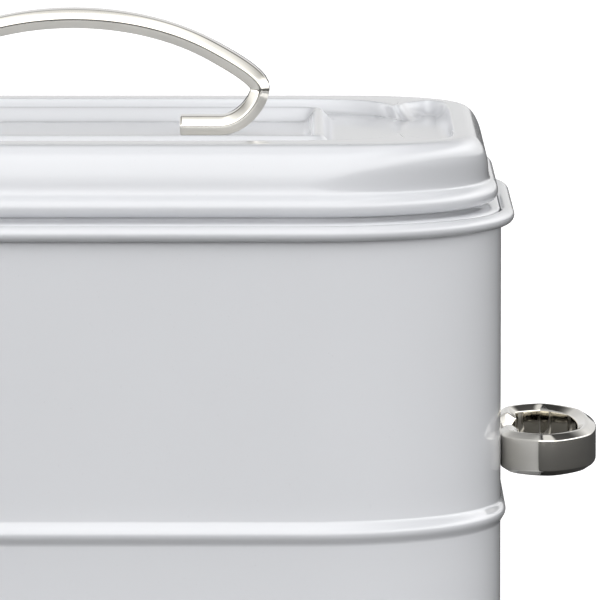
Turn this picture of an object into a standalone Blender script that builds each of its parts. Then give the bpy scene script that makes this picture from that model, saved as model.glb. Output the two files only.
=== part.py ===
"""Steel bread bin with a lift-off lid, modelled in Blender 4.5.

The frame is metres with +Z up, +X along the bin's length and the front facing -Y. Sizes below are
millimetres and are turned into metres once, where a mesh is made. The origin is on the floor, under
the middle of the bin.

A sheet-metal piece is a run of rings round the bin, each ring an outline with its own corner radius
and height, joined into one skin and given its thickness by a Solidify modifier. The handles are bars
of one section swept along a bow. Screws and washers are profiles turned with the Screw modifier.
"""
import math

import bmesh
import bpy
from mathutils import Matrix, Vector

MM = 0.001

# ---- driving dimensions, millimetres ---------------------------------------------------------------
BODY_LENGTH = 280.0          # outside of the wall, left to right
BODY_DEPTH = 206.0           # outside of the wall, front to back
BODY_CORNER = 66.0           # plan radius of the wall's corners
CORNER_POWER = 2.15          # 2 is a circular corner; more starts the bend more gently
RIM_HEIGHT = 177.5           # centre of the rolled rim above the floor
SHEET = 0.6                  # sheet thickness of every pressed piece
GAP = 0.3                    # clearance between pieces that touch in the real bin

RIM_ROLL = 2.15              # radius of the rolled rim at mid-sheet
BEAD_DROP = 96.5             # rim centre down to the middle of the stiffening bead
BEAD_HALF = 4.2              # half the bead's height
BEAD_OUT = 1.7               # how far the bead stands out

BASE_FLOOR = 3.9             # middle of the base's sheet above the floor
SEAM_HEIGHT = 4.2            # height of the seam that laps the wall

LID_INSET = 1.4              # lid bead inside the wall's outer face
LID_CORNER_CUT = 3.0         # lid bead's plan corner radius below the wall's
LID_BEAD_RISE = 8.0          # rim centre up to the lid bead's widest line
LID_CREST_RISE = 27.1        # rim centre up to the top of the lid's border
CREST_CORNER = 38.0          # plan radius of the border's corners
RECESS_DROP = 4.5            # border down to the recessed floor
COLLAR_NECK = 5.0            # wall's mid-sheet in to the collar's neck under the bead
COLLAR_FIT = 2.3             # wall's mid-sheet in to the part of the collar that hangs inside it
COLLAR_DROP = 6.2            # rim centre down to the collar's foot

WELL_HALF_LENGTH = 80.7      # middle of the ridge round the handle well
WELL_HALF_DEPTH = 53.0
WELL_CORNER = 5.5
WELL_SLOPE = 4.4             # width of the slope on each side of the ridge
WELL_RIDGE_DROP = 0.6        # border down to the ridge's top
WELL_DROP = 5.2              # border down to the well's floor

BAR_THICK = 6.2
BAR_WIDE = 13.7
BAR_CHAMFER_THICK = 2.6      # the chamfers' share of the thickness
BAR_CHAMFER_WIDE = 1.7       # the chamfers' share of the width
TOP_HANDLE_HALF = 61.4       # middle of the bar, from the centre to the side of the bow
TOP_HANDLE_RISE = 38.4       # middle of the bar above the face that it stands on
SIDE_HANDLE_HALF = 41.0
SIDE_HANDLE_REACH = 29.0     # middle of the bar out from the wall
SIDE_HANDLE_DROP = 79.0      # rim centre down to the middle of the side handles
TOP_SCREW_X = 42.0
SIDE_SCREW_Y = 21.5

SCREW_RADIUS = 2.0
SCREW_IN_FOOT = 4.2          # depth of thread in a handle's foot
HEAD_RADIUS = 3.8
HEAD_HEIGHT = 2.4
SLOT_WIDTH = 1.0
SLOT_DEPTH = 1.0
WASHER_RADIUS = 5.5
WASHER_THICK = 1.0

# ---- worked out from the above ---------------------------------------------------------------------
HALF_X = BODY_LENGTH / 2
HALF_Y = BODY_DEPTH / 2
MID_X = HALF_X - SHEET / 2
MID_Y = HALF_Y - SHEET / 2
LID_CORNER = BODY_CORNER - LID_CORNER_CUT
LID_X = HALF_X - LID_INSET
LID_Y = HALF_Y - LID_INSET
CREST_HEIGHT = RIM_HEIGHT + LID_CREST_RISE
WELL_FLOOR = CREST_HEIGHT - WELL_DROP
HANDLE_Z = RIM_HEIGHT - SIDE_HANDLE_DROP

MATERIALS = {
    "enamel": ((0.66, 0.67, 0.70), 0.28, 0.0),
    "chrome": ((0.80, 0.79, 0.76), 0.12, 1.0),
    "steel": ((0.62, 0.62, 0.62), 0.35, 1.0),
}


def clear_scene():
    """Start from an empty file."""
    for obj in list(bpy.data.objects):
        bpy.data.objects.remove(obj, do_unlink=True)


def new_collection(name):
    collection = bpy.data.collections.new(name)
    bpy.context.scene.collection.children.link(collection)
    return collection


def new_material(name, finish):
    """A Principled material for one piece."""
    color, roughness, metallic = MATERIALS[finish]
    material = bpy.data.materials.new(name + "_finish")
    material.use_nodes = True
    shader = material.node_tree.nodes["Principled BSDF"]
    shader.inputs["Base Color"].default_value = (*color, 1.0)
    shader.inputs["Roughness"].default_value = roughness
    shader.inputs["Metallic"].default_value = metallic
    material.diffuse_color = (*color, 1.0)
    return material


def new_object(name, bm, collection, finish=None):
    """Turn a bmesh in millimetres into an object in metres."""
    bmesh.ops.scale(bm, vec=(MM, MM, MM), verts=bm.verts)
    mesh = bpy.data.meshes.new(name)
    bm.to_mesh(mesh)
    bm.free()
    obj = bpy.data.objects.new(name, mesh)
    collection.objects.link(obj)
    if finish:
        mesh.materials.append(new_material(name, finish))
    return obj


# ---- outlines --------------------------------------------------------------------------------------
def corner(radius, steps, power=CORNER_POWER):
    """Points of one corner from its X side to its Y side, as (x, y) from the corner's centre."""
    points = []
    for step in range(steps + 1):
        angle = 0.5 * math.pi * step / steps
        x = math.cos(angle) ** (2 / power) if step < steps else 0.0
        y = math.sin(angle) ** (2 / power) if step else 0.0
        points.append((radius * x, radius * y))
    return points


def mirror_quadrant(quadrant):
    """A closed loop from its first quarter, which runs from the +X axis side to the +Y axis side."""
    loop = list(quadrant)
    loop += [(-x, y) for x, y in reversed(quadrant)]
    loop += [(-x, -y) for x, y in quadrant]
    loop += [(x, -y) for x, y in reversed(quadrant)]
    kept = []
    for point in loop:
        if not kept or math.dist(point, kept[-1]) > 1e-6:
            kept.append(point)
    if math.dist(kept[0], kept[-1]) < 1e-6:
        kept.pop()
    return kept


def rounded(half_x, half_y, radius, steps=9):
    """A rounded rectangle."""
    return mirror_quadrant([(half_x - radius + x, half_y - radius + y) for x, y in corner(radius, steps)])


# ---- solids ----------------------------------------------------------------------------------------
def skin_from_rings(rings, cap_last=False):
    """Join rings of equal length, each a list of (x, y, z), into one skin, closing the last one flat."""
    bm = bmesh.new()
    loops = [[bm.verts.new(point) for point in ring] for ring in rings]
    count = len(loops[0])
    for lower, upper in zip(loops, loops[1:]):
        for i in range(count):
            j = (i + 1) % count
            bm.faces.new((lower[i], lower[j], upper[j], upper[i]))
    if cap_last:
        bm.faces.new(loops[-1])
    return bm


def sheet_piece(name, rings, collection, cap_last=False, flip=False):
    """A pressed sheet: the skin is the middle of the sheet and Solidify gives it both faces."""
    bm = skin_from_rings(rings, cap_last)
    if flip:
        bmesh.ops.reverse_faces(bm, faces=bm.faces)
    obj = new_object(name, bm, collection, "enamel")
    solidify = obj.modifiers.new("sheet", "SOLIDIFY")
    solidify.thickness = SHEET * MM
    solidify.offset = 0.0
    solidify.use_even_offset = True
    return obj


def bar_section():
    """The bar's section as (across the bow, along the width): a rectangle with cut corners."""
    half_t = BAR_THICK / 2
    half_w = BAR_WIDE / 2
    flat_t = half_t - BAR_CHAMFER_THICK
    flat_w = half_w - BAR_CHAMFER_WIDE
    return [
        (half_t, -flat_w), (half_t, flat_w), (flat_t, half_w), (-flat_t, half_w),
        (-half_t, flat_w), (-half_t, -flat_w), (-flat_t, -half_w), (flat_t, -half_w),
    ]


def bezier(points, steps):
    """Points of a chain of cubic Bezier pieces given as anchor, handle, handle, anchor, ..."""
    path = [Vector(points[0])]
    for start in range(0, len(points) - 1, 3):
        a, b, c, d = (Vector(p) for p in points[start:start + 4])
        for step in range(1, steps + 1):
            t = step / steps
            s = 1 - t
            path.append(s ** 3 * a + 3 * s * s * t * b + 3 * s * t * t * c + t ** 3 * d)
    return path


def bow_path(half, rise, foot_end, foot_turn, shoulder, shoulder_rise, steps):
    """One plane curve, foot to foot: flat foot, bend at the side, then the bow over the middle."""
    low = BAR_THICK / 2
    bend_rise = low + (shoulder_rise - low) * 0.5
    right = [
        (foot_end, low), (foot_end + 2, low), (foot_turn - 2, low), (foot_turn, low),
        (foot_turn + (half - foot_turn) * 0.62, low), (half, bend_rise - 3.2), (half, bend_rise),
        (half, bend_rise + 3.6), (shoulder + 5, shoulder_rise - 3), (shoulder, shoulder_rise),
        (shoulder * 0.70, rise - (rise - shoulder_rise) * 0.30), (shoulder * 0.34, rise), (0.0, rise),
    ]
    side = bezier(right, steps)
    return side + [Vector((-p.x, p.y)) for p in reversed(side[:-1])]


def bar_along(path):
    """Sweep the bar's section along a plane path; the path's plane is local X and Y."""
    bm = bmesh.new()
    section = bar_section()
    rings = []
    for i, point in enumerate(path):
        before = path[max(i - 1, 0)]
        after = path[min(i + 1, len(path) - 1)]
        along = (after - before).normalized()
        across = Vector((along.y, -along.x))
        rings.append([bm.verts.new((point.x + across.x * t, w, point.y + across.y * t)) for t, w in section])
    count = len(section)
    for lower, upper in zip(rings, rings[1:]):
        for i in range(count):
            j = (i + 1) % count
            bm.faces.new((lower[i], lower[j], upper[j], upper[i]))
    bm.faces.new(reversed(rings[0]))
    bm.faces.new(rings[-1])
    bmesh.ops.recalc_face_normals(bm, faces=bm.faces)
    return bm


def turned(name, profile, collection, finish, steps=16):
    """Turn a closed profile of (radius, height) about Z with the Screw modifier."""
    bm = bmesh.new()
    verts = [bm.verts.new((r, 0.0, z)) for r, z in profile]
    closed = profile[0][0] > 0
    pairs = zip(verts, verts[1:] + verts[:1]) if closed else zip(verts, verts[1:])
    for a, b in pairs:
        bm.edges.new((a, b))
    obj = new_object(name, bm, collection, finish)
    screw = obj.modifiers.new("turn", "SCREW")
    screw.steps = steps
    screw.render_steps = steps
    screw.use_merge_vertices = True
    screw.merge_threshold = 0.00001
    screw.use_smooth_shade = False
    screw.use_normal_calculate = not closed
    return obj


def subtract(tool, target):
    """Subtract tool from target; the tool stays in the file, hidden."""
    tool.hide_render = True
    tool.display_type = "WIRE"
    cut = target.modifiers.new(tool.name, "BOOLEAN")
    cut.operation = "DIFFERENCE"
    cut.solver = "EXACT"
    cut.object = tool


def box(name, size, centre, collection):
    bm = bmesh.new()
    bmesh.ops.create_cube(bm, size=1.0)
    bmesh.ops.scale(bm, vec=size, verts=bm.verts)
    bmesh.ops.translate(bm, vec=centre, verts=bm.verts)
    return new_object(name, bm, collection)


def drill(name, radius, start, end, target, cutters, segments=16):
    """Bore a round hole from start to end through target."""
    start = Vector(start)
    end = Vector(end)
    bm = bmesh.new()
    bmesh.ops.create_cone(bm, cap_ends=True, segments=segments, radius1=radius, radius2=radius,
                          depth=(end - start).length)
    turn = (end - start).to_track_quat("Z", "Y").to_matrix().to_4x4()
    bmesh.ops.transform(bm, matrix=turn, verts=bm.verts)
    bmesh.ops.translate(bm, vec=(start + end) / 2, verts=bm.verts)
    subtract(new_object(name, bm, cutters), target)


# ---- the bin's body --------------------------------------------------------------------------------
def wave(height, centre, half, depth):
    """A smooth pressed bead: depth at its centre, nothing at centre +- half."""
    t = (height - centre) / half
    return depth * 0.5 * (1 + math.cos(math.pi * t)) if abs(t) < 1 else 0.0


def wall_profile():
    """(offset outwards, height) of the wall's mid-sheet, from its foot to the end of the curl."""
    bead = RIM_HEIGHT - BEAD_DROP
    heights = [SHEET + GAP, bead - BEAD_HALF]
    heights += [bead + BEAD_HALF * k for k in (-0.6, -0.25, 0.25, 0.6, 1.0)]
    profile = [(wave(z, bead, BEAD_HALF, BEAD_OUT), z) for z in heights]
    profile[3] = (BEAD_OUT, heights[3])
    profile[4] = (BEAD_OUT, heights[4])
    for degrees in (180, 145, 110, 75, 40, 5, -30, -65, -100, -130):
        angle = math.radians(degrees)
        profile.append((RIM_ROLL * (1 + math.cos(angle)), RIM_HEIGHT + RIM_ROLL * math.sin(angle)))
    return profile


def offset_ring(offset, z):
    """A ring that stands offset outside the wall's mid-sheet."""
    outline = rounded(MID_X + offset, MID_Y + offset, BODY_CORNER - SHEET / 2 + offset)
    return [(x, y, z) for x, y in outline]


def make_wall(parts):
    return sheet_piece("tub_wall", [offset_ring(o, z) for o, z in wall_profile()], parts)


def make_base(parts):
    """The base: a raised flat pan whose edge laps under and outside the wall's foot."""
    leg = SHEET + GAP
    low = SHEET / 2
    profile = [
        (leg, SEAM_HEIGHT), (leg, low + 0.5), (leg - 0.35, low), (0.35 - leg, low), (-leg, low + 0.5),
        (-leg, BASE_FLOOR - 1.6), (-leg - 1.2, BASE_FLOOR - 0.3), (-leg - 4.0, BASE_FLOOR),
    ]
    return sheet_piece("tub_base", [offset_ring(o, z) for o, z in profile], parts, cap_last=True, flip=True)


# ---- the lid ---------------------------------------------------------------------------------------
# One quarter of the recess in the lid's top, from the middle of its end to the middle of its long side.
# A tongue of the border reaches in near each corner, with a pocket beyond it. Columns: the border's
# inner edge, the floor's edge below it, a point further in on the floor, each as insets from the lid's
# widest line, and the turn of the border's outer outline that lies opposite. An inset of None is on the
# lid's middle line.
RECESS = [
    ((13.6, None), (18.6, None), (20.4, None), 0.0),
    ((13.6, 77.6), (18.6, 78.6), (20.4, 94.1), 0.42),
    ((13.6, 55.6), (18.4, 57.6), (20.6, 87.6), 0.86),
    ((13.8, 39.6), (17.8, 43.6), (21.1, 82.1), 1.10),
    ((15.4, 31.1), (18.4, 35.6), (21.8, 79.6), 1.30),
    ((21.1, 28.1), (21.6, 35.6), (22.7, 77.1), 1.42),
    ((28.1, 37.6), (23.6, 43.6), (23.7, 74.4), 1.56),
    ((30.4, 46.4), (24.3, 52.2), (25.3, 71.1), 1.63),
    ((31.9, 48.8), (26.7, 59.4), (28.4, 67.4), 1.667),
    ((33.1, 47.8), (29.9, 56.0), (31.4, 63.6), 1.70),
    ((33.8, 45.0), (32.3, 49.6), (34.2, 58.2), 1.74),
    ((35.0, 40.6), (35.2, 42.8), (36.8, 50.6), 1.80),
    ((39.1, 33.6), (40.6, 36.4), (41.6, 39.6), 1.88),
    ((47.6, 27.8), (50.0, 32.0), (50.8, 34.0), 1.97),
    ((60.6, 24.1), (62.0, 29.8), (62.4, 31.6), 2.10),
    ((78.6, 22.6), (79.6, 28.6), (80.0, 30.2), 2.34),
    ((108.6, 22.1), (108.6, 28.4), (108.6, 30.0), 2.66),
    ((None, 22.1), (None, 28.4), (None, 30.0), 3.0),
]
# The lid's side: inset from its widest line, rise above that line as far as the cove, and share of the
# way from the bead's plan corner to the border's.
LID_FOOT = [(3.2, -3.1, 0), (1.2, -2.6, 0), (0.2, -1.2, 0), (0.0, 0.6, 0), (0.9, 2.2, 0), (2.5, 3.6, 0.02)]
# The rest of the side hangs from the border: inset, drop below the border's top, and the same share.
LID_SHOULDER = [(3.2, 13.3, 0.10), (3.4, 10.0, 0.25), (4.3, 6.3, 0.45), (5.9, 3.4, 0.65), (7.6, 1.1, 0.85),
                (9.8, 0.15, 1.0)]


def recess_columns():
    """Places along the recess, 0 for its first line and 1 for its second, close round the tongue."""
    places = [0, 0.5, 1, 1.5, 2, 2.5, 3, 3.5, 4, 4.5, 5, 5.5, 6, 6.5, 7, 7.5, 8, 8.5, 9, 9.5]
    return places + [10, 10.5, 11, 11.5, 12, 12.5, 13, 14, 15, 16, 16.5, 17]


def recess_curve(column):
    """A smooth quarter curve through one column of RECESS, at every place of recess_columns."""
    points = []
    for line in RECESS:
        across, deep = line[column]
        x = 0.0 if across is None else LID_X - across
        y = 0.0 if deep is None else LID_Y - deep
        points.append(Vector((x, y)))
    chain = [Vector((points[1].x, -points[1].y))] + points + [Vector((-points[-2].x, points[-2].y))]
    curve = []
    for place in recess_columns():
        i = min(int(place), len(points) - 2)
        t = place - i
        a, b, c, d = chain[i:i + 4]
        curve.append(0.5 * (2 * b + (c - a) * t + (2 * a - 5 * b + 4 * c - d) * t * t
                            + (3 * b - a - 3 * c + d) * t ** 3))
    return curve


def outline_at(half_x, half_y, radius, power, turn):
    """A point of a rounded rectangle's quarter: turn 0 to 1 runs along the end, 1 to 2 round the corner
    and 2 to 3 along the side."""
    angle = 0.5 * math.pi * min(max(turn - 1, 0), 1)
    across = radius * max(math.cos(angle), 0) ** (2 / power)
    deep = radius * max(math.sin(angle), 0) ** (2 / power)
    x = (half_x - radius) * (1 - min(max(turn - 2, 0), 1)) + across
    y = (half_y - radius) * min(turn, 1) + deep
    return Vector((x, y))


def recess_turns():
    """The outer outline's turn at every place of recess_columns."""
    turns = []
    for place in recess_columns():
        i = min(int(place), len(RECESS) - 2)
        low, high = RECESS[i][3], RECESS[i + 1][3]
        turns.append(low + (high - low) * (place - i))
    return turns


def lifted(quarter, z):
    """A closed ring of a quarter outline at one height."""
    return [(x, y, z) for x, y in mirror_quadrant([(point.x, point.y) for point in quarter])]


def lid_side_rings():
    """Rings of the lid from its rolled bead up to the top of the border."""
    bead = RIM_HEIGHT + LID_BEAD_RISE
    profile = [(inset, bead + rise, share) for inset, rise, share in LID_FOOT]
    profile += [(inset, CREST_HEIGHT - drop, share) for inset, drop, share in LID_SHOULDER]
    rings = []
    for inset, z, share in profile:
        radius = (LID_CORNER - inset) * (1 - share) + CREST_CORNER * share
        half_x, half_y = LID_X - inset, LID_Y - inset
        quarter = [outline_at(half_x, half_y, radius, CORNER_POWER, turn) for turn in recess_turns()]
        rings.append(lifted(quarter, z))
    return rings


def recess_rings():
    """Rings down the recess's wall, steep at the border and easing into the floor, then on to the mouth."""
    edge = recess_curve(0)
    foot = recess_curve(1)
    floor = CREST_HEIGHT - RECESS_DROP
    rings = []
    for share, drop in ((0.0, 0.0), (0.12, 0.25), (0.40, 0.62), (0.75, 0.90), (1.0, 1.0)):
        quarter = [a.lerp(b, share) for a, b in zip(edge, foot)]
        rings.append(lifted(quarter, CREST_HEIGHT - RECESS_DROP * drop))
    rings.append(lifted(recess_curve(2), floor))
    return rings


def well_ring(grow, z):
    """A ring round the well where rays from the lid's middle through the mouth's points meet it."""
    radius = max(WELL_CORNER + grow, 1.0)
    fine = [outline_at(WELL_HALF_LENGTH + grow, WELL_HALF_DEPTH + grow, radius, 2, k / 200) for k in range(601)]
    bearings = [math.atan2(point.y, point.x) for point in fine]
    quarter = []
    i = 0
    for point in recess_curve(2):
        bearing = math.atan2(point.y, point.x)
        while i < len(fine) - 2 and bearings[i + 1] < bearing:
            i += 1
        share = (bearing - bearings[i]) / (bearings[i + 1] - bearings[i])
        quarter.append(fine[i].lerp(fine[i + 1], share))
    return lifted(quarter, z)


def make_lid_shell(parts):
    """The lid's pressing: bead, cove, shoulder, border, recess with its tongues, and the handle's well."""
    floor = CREST_HEIGHT - RECESS_DROP
    ridge = CREST_HEIGHT - WELL_RIDGE_DROP
    rings = lid_side_rings() + recess_rings()
    rings += [well_ring(WELL_SLOPE, floor), well_ring(0.8, ridge), well_ring(-0.8, ridge)]
    rings += [well_ring(-WELL_SLOPE, WELL_FLOOR)]
    return sheet_piece("lid_shell", rings, parts, cap_last=True)


def seat(degrees, lift=0.0):
    """A point of the collar beside the rolled rim: offset from the wall and rise over the rim's centre."""
    reach = RIM_ROLL + SHEET + GAP + lift
    angle = math.radians(degrees)
    return RIM_ROLL + reach * math.cos(angle), reach * math.sin(angle)


def make_collar(parts):
    """The ring under the lid: a neck under the bead, a bead that sits on the rim's inner shoulder, and a
    skirt inside the wall."""
    profile = [
        (-COLLAR_NECK - 2.7, 6.2), (-COLLAR_NECK - 0.7, 4.9), (-COLLAR_NECK, 3.6), (-COLLAR_FIT - 0.4, 2.9),
        seat(137, 0.4), seat(146), seat(160), (-COLLAR_FIT + 0.6, 0.7), (-COLLAR_FIT, 0.0),
        (-COLLAR_FIT, 1.2 - COLLAR_DROP), (-COLLAR_FIT - 0.6, -COLLAR_DROP),
    ]
    return sheet_piece("lid_collar", [offset_ring(o, RIM_HEIGHT + rise) for o, rise in profile], parts, flip=True)


# ---- handles and their fastenings ------------------------------------------------------------------
def make_top_handle(parts, cutters):
    path = bow_path(TOP_HANDLE_HALF, TOP_HANDLE_RISE, foot_end=35.0, foot_turn=48.0, shoulder=46.0,
                    shoulder_rise=27.4, steps=6)
    bm = bar_along(path)
    seat = WELL_FLOOR + SHEET / 2 + GAP
    bmesh.ops.translate(bm, vec=(0, 0, seat), verts=bm.verts)
    handle = new_object("top_handle", bm, parts, "chrome")
    for side, x in (("right", TOP_SCREW_X), ("left", -TOP_SCREW_X)):
        drill(f"top_foot_bore_{side}", SCREW_RADIUS + GAP, (x, 0, seat - 2), (x, 0, seat + SCREW_IN_FOOT + GAP),
              handle, cutters)
    return handle


def make_side_handle(side, sign, parts, cutters):
    """A smaller bow of the same bar, lying level, its feet flat on the end wall."""
    path = bow_path(SIDE_HANDLE_HALF, SIDE_HANDLE_REACH, foot_end=15.0, foot_turn=28.0, shoulder=25.0,
                    shoulder_rise=26.8, steps=5)
    bm = bar_along(path)
    seat = HALF_X + GAP
    for vert in bm.verts:
        along, across, out = vert.co
        vert.co = (sign * (seat + out), along * sign, HANDLE_Z + across)
    bmesh.ops.recalc_face_normals(bm, faces=bm.faces)
    name = f"{side}_handle"
    handle = new_object(name, bm, parts, "chrome")
    for end, y in (("front", -SIDE_SCREW_Y), ("back", SIDE_SCREW_Y)):
        drill(f"{name}_bore_{end}", SCREW_RADIUS + GAP, (sign * (seat - 2), y, HANDLE_Z),
              (sign * (seat + SCREW_IN_FOOT + GAP), y, HANDLE_Z), handle, cutters)
    return handle


def screw_profile(grip):
    """Head at the bottom, shank up through grip millimetres of sheet and washer into the foot."""
    top = grip + SCREW_IN_FOOT
    return [
        (0.0, top), (SCREW_RADIUS - 0.4, top), (SCREW_RADIUS, top - 0.5), (SCREW_RADIUS, 0.0),
        (HEAD_RADIUS, 0.0), (HEAD_RADIUS, -HEAD_HEIGHT * 0.55), (HEAD_RADIUS * 0.7, -HEAD_HEIGHT), (0.0, -HEAD_HEIGHT),
    ]


def washer_profile():
    inner = SCREW_RADIUS + GAP
    return [(WASHER_RADIUS, WASHER_THICK), (WASHER_RADIUS, 0.0), (inner, 0.0), (inner, WASHER_THICK)]


def make_fastening(name, seat, direction, target, parts, cutters):
    """A screw and washer that hold a handle's foot from inside; seat is the sheet's middle."""
    seat = Vector(seat)
    direction = Vector(direction)
    turn = direction.to_track_quat("Z", "Y").to_matrix().to_4x4()
    washer_at = seat - direction * (SHEET / 2 + GAP + WASHER_THICK)
    screw_at = washer_at - direction * GAP
    grip = WASHER_THICK + SHEET + 3 * GAP
    washer = turned(f"{name}_washer", washer_profile(), parts, "steel")
    screw = turned(f"{name}_screw", screw_profile(grip), parts, "steel")
    slot = box(f"{name}_slot", (2 * HEAD_RADIUS + 2, SLOT_WIDTH, 2 * SLOT_DEPTH), (0, 0, -HEAD_HEIGHT), cutters)
    washer.matrix_world = Matrix.Translation(washer_at * MM) @ turn
    screw.matrix_world = Matrix.Translation(screw_at * MM) @ turn
    slot.matrix_world = screw.matrix_world
    subtract(slot, screw)
    drill(f"{name}_hole", SCREW_RADIUS + GAP, seat - direction * 2, seat + direction * 2, target, cutters)


def hang_on_lid_axis(parts):
    """Parent the lid's pieces to an empty on the upright line that the lid is lifted along."""
    axis = bpy.data.objects.new("lid_axis", None)
    axis.location = (0, 0, RIM_HEIGHT * MM)
    parts.objects.link(axis)
    for obj in list(parts.objects):
        if obj.name.startswith(("lid_shell", "lid_collar", "top_")):
            obj.parent = axis
            obj.matrix_parent_inverse = Matrix.Translation((0, 0, -RIM_HEIGHT * MM))


def main():
    clear_scene()
    parts = new_collection("bread_bin")
    cutters = new_collection("cutters")
    wall = make_wall(parts)
    make_base(parts)
    lid = make_lid_shell(parts)
    make_collar(parts)
    make_top_handle(parts, cutters)
    for side, sign in (("right", 1), ("left", -1)):
        make_side_handle(side, sign, parts, cutters)
        make_fastening(f"top_{side}", (sign * TOP_SCREW_X, 0, WELL_FLOOR), (0, 0, 1), lid, parts, cutters)
        for end, y in (("front", -SIDE_SCREW_Y), ("back", SIDE_SCREW_Y)):
            seat = (sign * MID_X, y, HANDLE_Z)
            make_fastening(f"{side}_{end}", seat, (sign, 0, 0), wall, parts, cutters)
    hang_on_lid_axis(parts)


main()
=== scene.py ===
"""Steel bread bin with a lift-off lid: finished surfaces, materials and studio.

Laid out as a Blender add-on. The packed model is the fixed frame. Each painted sheet and each handle
is a numpy surface that stands for a plain solid of the frame; the screws and washers are the frame's
own. Sizes are metres, the front faces -Y and the origin is on the floor under the middle of the bin.
"""
import math

import bpy
import numpy as np
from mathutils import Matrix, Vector


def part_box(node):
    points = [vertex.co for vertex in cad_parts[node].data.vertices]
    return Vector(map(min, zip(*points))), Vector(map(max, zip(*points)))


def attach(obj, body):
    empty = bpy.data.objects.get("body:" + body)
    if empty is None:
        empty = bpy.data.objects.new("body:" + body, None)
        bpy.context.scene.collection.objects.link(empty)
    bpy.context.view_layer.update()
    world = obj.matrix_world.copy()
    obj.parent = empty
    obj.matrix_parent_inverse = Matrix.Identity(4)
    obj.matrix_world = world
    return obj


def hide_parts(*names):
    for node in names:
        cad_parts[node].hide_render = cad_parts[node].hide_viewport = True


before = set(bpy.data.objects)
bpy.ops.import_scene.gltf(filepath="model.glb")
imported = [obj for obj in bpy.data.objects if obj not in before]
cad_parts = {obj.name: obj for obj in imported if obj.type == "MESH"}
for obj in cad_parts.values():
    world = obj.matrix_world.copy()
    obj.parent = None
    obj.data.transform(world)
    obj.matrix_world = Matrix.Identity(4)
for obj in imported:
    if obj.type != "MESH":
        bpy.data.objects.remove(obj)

bl_info = {
    "name": "Bread bin",
    "version": (1, 0, 0),
    "blender": (4, 5, 0),
    "location": "View3D > Sidebar > Bread bin",
    "description": "Builds a steel bread bin with a lift-off lid around a fixed frame",
    "category": "Object",
}

MM = 0.001


# ---- settings --------------------------------------------------------------------------------------
def size(name, text, default):
    """A length in millimetres, kept in metres."""
    return bpy.props.FloatProperty(
        name=name, description=text, default=default * MM, unit="LENGTH", precision=5)


def colour(name, text, default):
    """A colour, each channel from 0 to 1."""
    return bpy.props.FloatVectorProperty(
        name=name, description=text, default=default, subtype="COLOR", min=0.0, max=1.0)


def number(name, text, default):
    """A plain number."""
    return bpy.props.FloatProperty(name=name, description=text, default=default)


class BinBody(bpy.types.PropertyGroup):
    """The tub's wall."""
    sheet: size("Sheet", "Thickness of the steel sheet", 0.6)
    corner: size("Corner", "Plan radius of the wall's corners at mid-sheet", 65.7)
    power: number("Corner power", "2 is a circular corner, more starts the bend more gently", 2.15)
    roll: size("Rim roll", "Radius of the rolled rim at mid-sheet", 2.15)
    bead_drop: size("Bead drop", "Rim centre down to the stiffening bead", 96.5)
    bead_half: size("Bead half height", "Half the height of the bead", 4.2)
    bead_out: size("Bead depth", "How far the bead stands out", 1.7)
    enamel: colour("Enamel", "Pale grey paint of the tub and lid", (0.66, 0.67, 0.695))


class BinLid(bpy.types.PropertyGroup):
    """The lid's pressing."""
    corner: size("Lid corner", "Plan radius of the bead's corners", 63.0)
    border_corner: size("Border corner", "Plan radius of the raised border's corners", 38.0)
    recess: size("Recess depth", "Border down to the recessed floor", 4.5)
    well_x: size("Well half length", "Middle of the ridge round the handle's well", 80.7)
    well_y: size("Well half depth", "Middle of the ridge round the handle's well", 53.0)
    well_corner: size("Well corner", "Plan radius of that ridge", 5.5)
    well_slope: size("Well slope", "Width of the slope on each side of the ridge", 4.4)
    ridge: size("Ridge drop", "Border down to the top of the ridge", 0.6)
    well: size("Well depth", "Border down to the floor of the well", 5.2)


class BinBar(bpy.types.PropertyGroup):
    """The section that the three handles share."""
    thick: size("Thickness", "Bar thickness across the bow", 6.2)
    wide: size("Width", "Bar width", 13.7)
    chamfer_thick: size("Chamfer, thickness", "Chamfer's share of the thickness", 2.6)
    chamfer_wide: size("Chamfer, width", "Chamfer's share of the width", 1.7)
    edge: size("Edge", "Rounding between the flats", 0.4)
    metal: colour("Bright metal", "Polished plating of the handles", (0.80, 0.775, 0.715))
    zinc: colour("Zinc", "Plating of the screws and washers", (0.60, 0.61, 0.62))


class BinTopBow(bpy.types.PropertyGroup):
    """The lid handle's bow."""
    half: size("Half length", "Middle of the bar at the bow's side", 61.4)
    rise: size("Rise", "Middle of the bar above its seat", 38.4)
    foot_end: size("Foot end", "Where the foot is cut", 35.0)
    foot_turn: size("Foot turn", "Where the foot starts to bend up", 48.0)
    shoulder: size("Shoulder", "Where the bend gives way to the bow", 46.0)
    shoulder_rise: size("Shoulder rise", "Middle of the bar there, above its seat", 27.4)


class BinSideBow(bpy.types.PropertyGroup):
    """The end handles' bow."""
    half: size("Half length", "Middle of the bar at the bow's side", 41.0)
    rise: size("Reach", "Middle of the bar out from its seat", 29.0)
    foot_end: size("Foot end", "Where the foot is cut", 15.0)
    foot_turn: size("Foot turn", "Where the foot starts to bend out", 28.0)
    shoulder: size("Shoulder", "Where the bend gives way to the bow", 25.0)
    shoulder_rise: size("Shoulder reach", "Middle of the bar there, out from its seat", 26.8)


class BinStage(bpy.types.PropertyGroup):
    """Camera and light."""
    elevation: number("Elevation", "Camera above the horizon, degrees", 6.3)
    azimuth: number("Azimuth", "Camera to the right of the front, degrees", 0.0)
    distance: size("Distance", "Camera to its aim", 2700.0)
    lens: number("Lens", "Focal length in millimetres", 490.0)
    aim: bpy.props.FloatVectorProperty(
        name="Aim", description="Middle of the picture", subtype="TRANSLATION",
        default=(0.0745, 0.0, 0.14485))
    sky: number("Sky", "Brightness of the whole studio", 1.0)
    floor: colour("Floor", "Colour of the floor", (0.88, 0.88, 0.88))


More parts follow.
